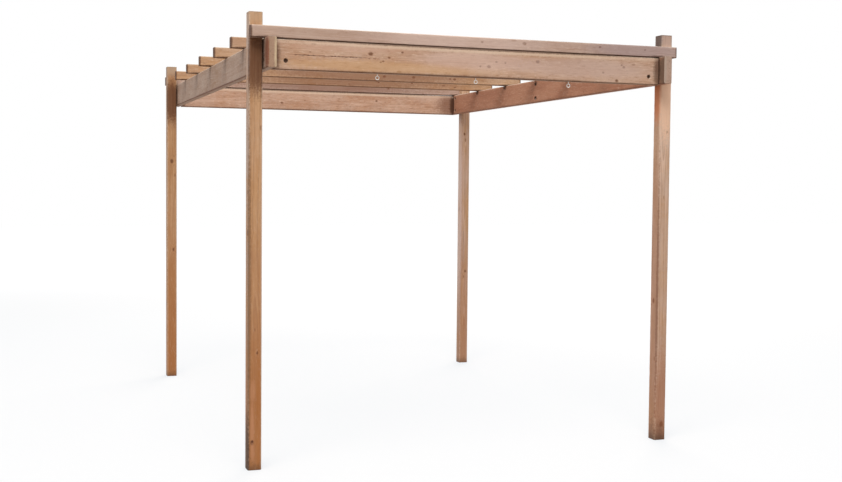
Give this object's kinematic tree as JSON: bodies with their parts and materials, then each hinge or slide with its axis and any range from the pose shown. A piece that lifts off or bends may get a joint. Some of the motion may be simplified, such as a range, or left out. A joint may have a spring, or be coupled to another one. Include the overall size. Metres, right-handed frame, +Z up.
{
  "type": "freestanding timber pergola",
  "caption": "Freestanding wooden pergola: square posts, side beams bolted inside them, a front and a back beam between, and a row of rafters on top.",
  "frame": {"origin": "on the floor, midway between the four posts, under the middle of the roof", "axes": "+Z up, +X to the right along the rafters, +Y to the back along the side beams"},
  "size_m": [2.4, 3.22, 2.28],
  "materials": {
    "timber": "planed pressure-treated softwood, light brown, weathered on top",
    "fixings": "dull galvanised steel"
  },
  "bodies": {
    "root": {"back_beam": "timber", "back_left_barrel_nut": "fixings", "back_left_connector_bolt": "fixings", "back_left_post": "timber", "back_left_post_screws": "fixings", "back_right_barrel_nut": "fixings", "back_right_connector_bolt": "fixings", "back_right_post": "timber", "back_right_post_screws": "fixings", "front_beam": "timber", "front_beam_eyes": "fixings", "front_left_barrel_nut": "fixings", "front_left_connector_bolt": "fixings", "front_left_post": "timber", "front_left_post_screws": "fixings", "front_right_barrel_nut": "fixings", "front_right_connector_bolt": "fixings", "front_right_post": "timber", "front_right_post_screws": "fixings", "left_side_beam": "timber", "rafter_1": "timber", "rafter_2": "timber", "rafter_3": "timber", "rafter_4": "timber", "rafter_5": "timber", "rafter_6": "timber", "rafter_7": "timber", "right_side_beam": "timber"}
  },
  "joints": []
}
